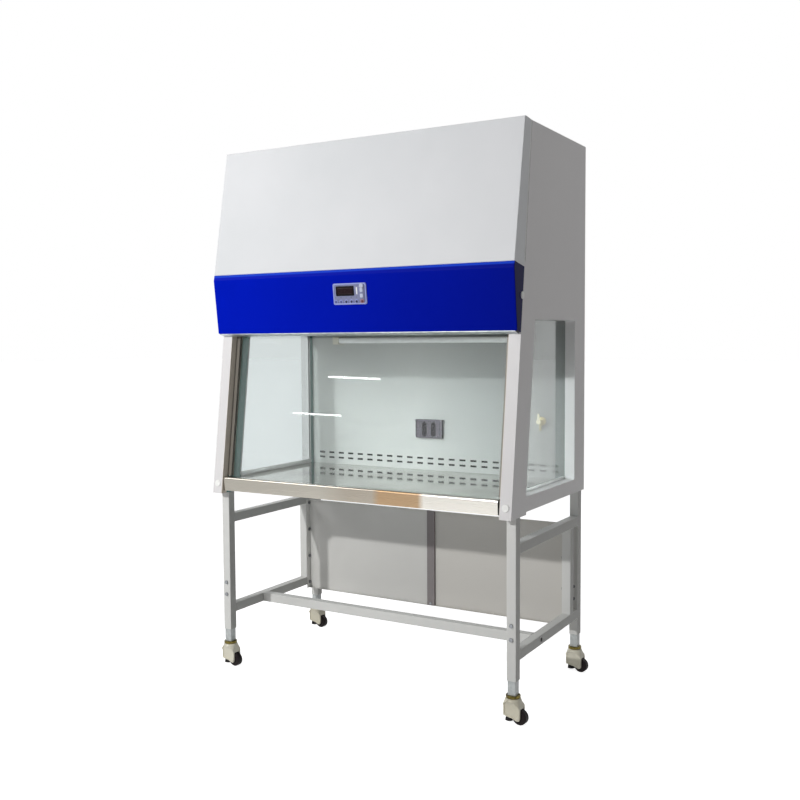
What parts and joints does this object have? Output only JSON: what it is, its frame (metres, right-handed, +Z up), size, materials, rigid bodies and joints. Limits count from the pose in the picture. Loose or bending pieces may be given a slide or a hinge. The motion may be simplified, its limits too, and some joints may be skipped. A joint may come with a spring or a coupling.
{
  "type": "vertical laminar flow cabinet",
  "caption": "Vertical laminar flow cabinet with a counterbalanced sash, side windows, blower and filter head, on a welded stand with telescopic legs and levelling casters.",
  "frame": {"origin": "on the floor below the middle of the cabinet", "axes": "+X to the right seen from the front, +Y to the back, +Z up"},
  "size_m": [1.3474, 0.7233, 2.0798],
  "materials": {
    "powder_white": "satin",
    "powder_blue": "gloss",
    "powder_grey": "satin",
    "stainless": "satin",
    "galvanised": "satin",
    "pane_glass": "polished",
    "black_rubber": "matte",
    "black_nylon": "satin",
    "caster_ivory": "gloss",
    "leg_grey": "satin",
    "panel_plastic": "satin",
    "display_dark": "gloss",
    "key_plastic": "gloss",
    "lamp_glass": "gloss",
    "holder_plastic": "satin",
    "filter_media": "matte",
    "aluminium": "satin",
    "bright_steel": "satin",
    "socket_plastic": "satin",
    "lid_plastic": "gloss",
    "tap_brass": "satin",
    "tap_plastic": "satin",
    "white_plastic": "satin",
    "black_plastic": "satin"
  },
  "bodies": {
    "cabinet": {"side_wall_left": "powder_white", "side_wall_right": "powder_white", "window_glass": "pane_glass", "window_gaskets": "black_rubber", "front_cover": "powder_white", "valance": "powder_blue", "control_plate": "panel_plastic", "display_window": "display_dark", "light_tray": "galvanised", "lamp_holders": "holder_plastic", "light_tube": "lamp_glass", "uv_lamp": "lamp_glass", "work_surface": "stainless", "base_pan": "galvanised", "inner_back_wall": "powder_white", "rear_panel": "powder_white", "plenum_box": "galvanised", "diffuser_plate": "aluminium", "hepa_filter": "filter_media", "blower_housing": "galvanised", "blower_motor": "bright_steel", "roof_panel": "powder_white", "prefilter": "filter_media", "sash_guides": "aluminium", "pulley_brackets": "bright_steel", "sash_cables": "bright_steel", "socket_box": "socket_plastic", "gas_tap_body": "tap_brass", "screw_caps": "white_plastic", "power_inlet": "black_plastic", "stand_frame_right": "powder_grey", "stand_frame_left": "powder_grey", "stand_cross_bar": "powder_grey", "stand_back_panel": "powder_grey", "stand_bolts": "bright_steel"},
    "sash": {"sash_glass": "pane_glass", "sash_carriages": "aluminium"},
    "counterweights": {"counterweights": "bright_steel"},
    "front_pulleys": {"front_pulley_shaft": "bright_steel"},
    "rear_pulleys": {"rear_pulley_shaft": "bright_steel"},
    "impeller": {"impeller": "galvanised"},
    "socket_lid": {"socket_lid": "lid_plastic"},
    "gas_tap_lever": {"gas_tap_lever": "tap_plastic"},
    "power_button": {"power_button": "key_plastic"},
    "leg_front_left": {"inner_leg_front_left": "leg_grey"},
    "caster_front_left": {"caster_housing_front_left": "caster_ivory"},
    "wheel_front_left": {"caster_wheel_front_left": "black_nylon"},
    "pad_front_left": {"levelling_pad_front_left": "black_rubber"},
    "leg_front_right": {"inner_leg_front_right": "leg_grey"},
    "caster_front_right": {"caster_housing_front_right": "caster_ivory"},
    "wheel_front_right": {"caster_wheel_front_right": "black_nylon"},
    "pad_front_right": {"levelling_pad_front_right": "black_rubber"},
    "leg_rear_left": {"inner_leg_rear_left": "leg_grey"},
    "caster_rear_left": {"caster_housing_rear_left": "caster_ivory"},
    "wheel_rear_left": {"caster_wheel_rear_left": "black_nylon"},
    "pad_rear_left": {"levelling_pad_rear_left": "black_rubber"},
    "leg_rear_right": {"inner_leg_rear_right": "leg_grey"},
    "caster_rear_right": {"caster_housing_rear_right": "caster_ivory"},
    "wheel_rear_right": {"caster_wheel_rear_right": "black_nylon"},
    "pad_rear_right": {"levelling_pad_rear_right": "black_rubber"}
  },
  "joints": [
    {"name": "sash_slide", "type": "slide", "parent": "cabinet", "child": "sash", "axis": [0, 0.1288, 0.9917], "range_m": [0, 0.5], "deforming": ["sash_cables"]},
    {"name": "counterweight_slide", "type": "slide", "parent": "cabinet", "child": "counterweights", "axis": [0, 0, 1], "range_m": [-0.5, 0]},
    {"name": "front_pulley_turn", "type": "hinge", "parent": "cabinet", "child": "front_pulleys", "pos_m": [0, -0.12243, 1.99], "axis": [-1, 0, 0], "range_deg": [0, 820]},
    {"name": "rear_pulley_turn", "type": "hinge", "parent": "cabinet", "child": "rear_pulleys", "pos_m": [0, 0.28425, 1.99], "axis": [-1, 0, 0], "range_deg": [0, 820]},
    {"name": "impeller_spin", "type": "hinge", "parent": "cabinet", "child": "impeller", "pos_m": [0, 0.07, 1.8515], "axis": [1, 0, 0], "continuous": true},
    {"name": "socket_lid_hinge", "type": "hinge", "parent": "cabinet", "child": "socket_lid", "pos_m": [0, 0.2602, 0.9865], "axis": [-1, 0, 0], "range_deg": [0, 110]},
    {"name": "gas_tap_turn", "type": "hinge", "parent": "cabinet", "child": "gas_tap_lever", "pos_m": [0.499, 0.2445, 1.001], "axis": [0, 1, 0], "range_deg": [0, 90]},
    {"name": "power_button_press", "type": "slide", "parent": "cabinet", "child": "power_button", "axis": [0, 0.9934, 0.1147], "range_m": [0, 0.0015], "stiffness_N_per_m": 300},
    {"name": "leg_slide_front_left", "type": "slide", "parent": "cabinet", "child": "leg_front_left", "axis": [0, 0, -1], "range_m": [0, 0.06]},
    {"name": "caster_swivel_front_left", "type": "hinge", "parent": "leg_front_left", "child": "caster_front_left", "pos_m": [-0.629, -0.293, 0.07], "axis": [0, 0, 1], "continuous": true},
    {"name": "wheel_spin_front_left", "type": "hinge", "parent": "caster_front_left", "child": "wheel_front_left", "pos_m": [-0.60111, -0.29544, 0.027], "axis": [0.0872, 0.9962, 0], "continuous": true},
    {"name": "pad_screw_front_left", "type": "slide", "parent": "caster_front_left", "child": "pad_front_left", "axis": [0, 0, -1], "range_m": [0, 0.012]},
    {"name": "leg_slide_front_right", "type": "slide", "parent": "cabinet", "child": "leg_front_right", "axis": [0, 0, -1], "range_m": [0, 0.06]},
    {"name": "caster_swivel_front_right", "type": "hinge", "parent": "leg_front_right", "child": "caster_front_right", "pos_m": [0.629, -0.293, 0.07], "axis": [0, 0, 1], "continuous": true},
    {"name": "wheel_spin_front_right", "type": "hinge", "parent": "caster_front_right", "child": "wheel_front_right", "pos_m": [0.65689, -0.29544, 0.027], "axis": [0.0872, 0.9962, 0], "continuous": true},
    {"name": "pad_screw_front_right", "type": "slide", "parent": "caster_front_right", "child": "pad_front_right", "axis": [0, 0, -1], "range_m": [0, 0.012]},
    {"name": "leg_slide_rear_left", "type": "slide", "parent": "cabinet", "child": "leg_rear_left", "axis": [0, 0, -1], "range_m": [0, 0.06]},
    {"name": "caster_swivel_rear_left", "type": "hinge", "parent": "leg_rear_left", "child": "caster_rear_left", "pos_m": [-0.629, 0.322, 0.07], "axis": [0, 0, 1], "continuous": true},
    {"name": "wheel_spin_rear_left", "type": "hinge", "parent": "caster_rear_left", "child": "wheel_rear_left", "pos_m": [-0.60111, 0.31956, 0.027], "axis": [0.0872, 0.9962, 0], "continuous": true},
    {"name": "pad_screw_rear_left", "type": "slide", "parent": "caster_rear_left", "child": "pad_rear_left", "axis": [0, 0, -1], "range_m": [0, 0.012]},
    {"name": "leg_slide_rear_right", "type": "slide", "parent": "cabinet", "child": "leg_rear_right", "axis": [0, 0, -1], "range_m": [0, 0.06]},
    {"name": "caster_swivel_rear_right", "type": "hinge", "parent": "leg_rear_right", "child": "caster_rear_right", "pos_m": [0.629, 0.322, 0.07], "axis": [0, 0, 1], "continuous": true},
    {"name": "wheel_spin_rear_right", "type": "hinge", "parent": "caster_rear_right", "child": "wheel_rear_right", "pos_m": [0.65689, 0.31956, 0.027], "axis": [0.0872, 0.9962, 0], "continuous": true},
    {"name": "pad_screw_rear_right", "type": "slide", "parent": "caster_rear_right", "child": "pad_rear_right", "axis": [0, 0, -1], "range_m": [0, 0.012]}
  ],
  "couplings": [
    {"joint": "counterweight_slide", "follows": "sash_slide", "ratio": -1},
    {"joint": "front_pulley_turn", "follows": "sash_slide", "rad_per_m": 28.571},
    {"joint": "rear_pulley_turn", "follows": "sash_slide", "rad_per_m": 28.571}
  ]
}
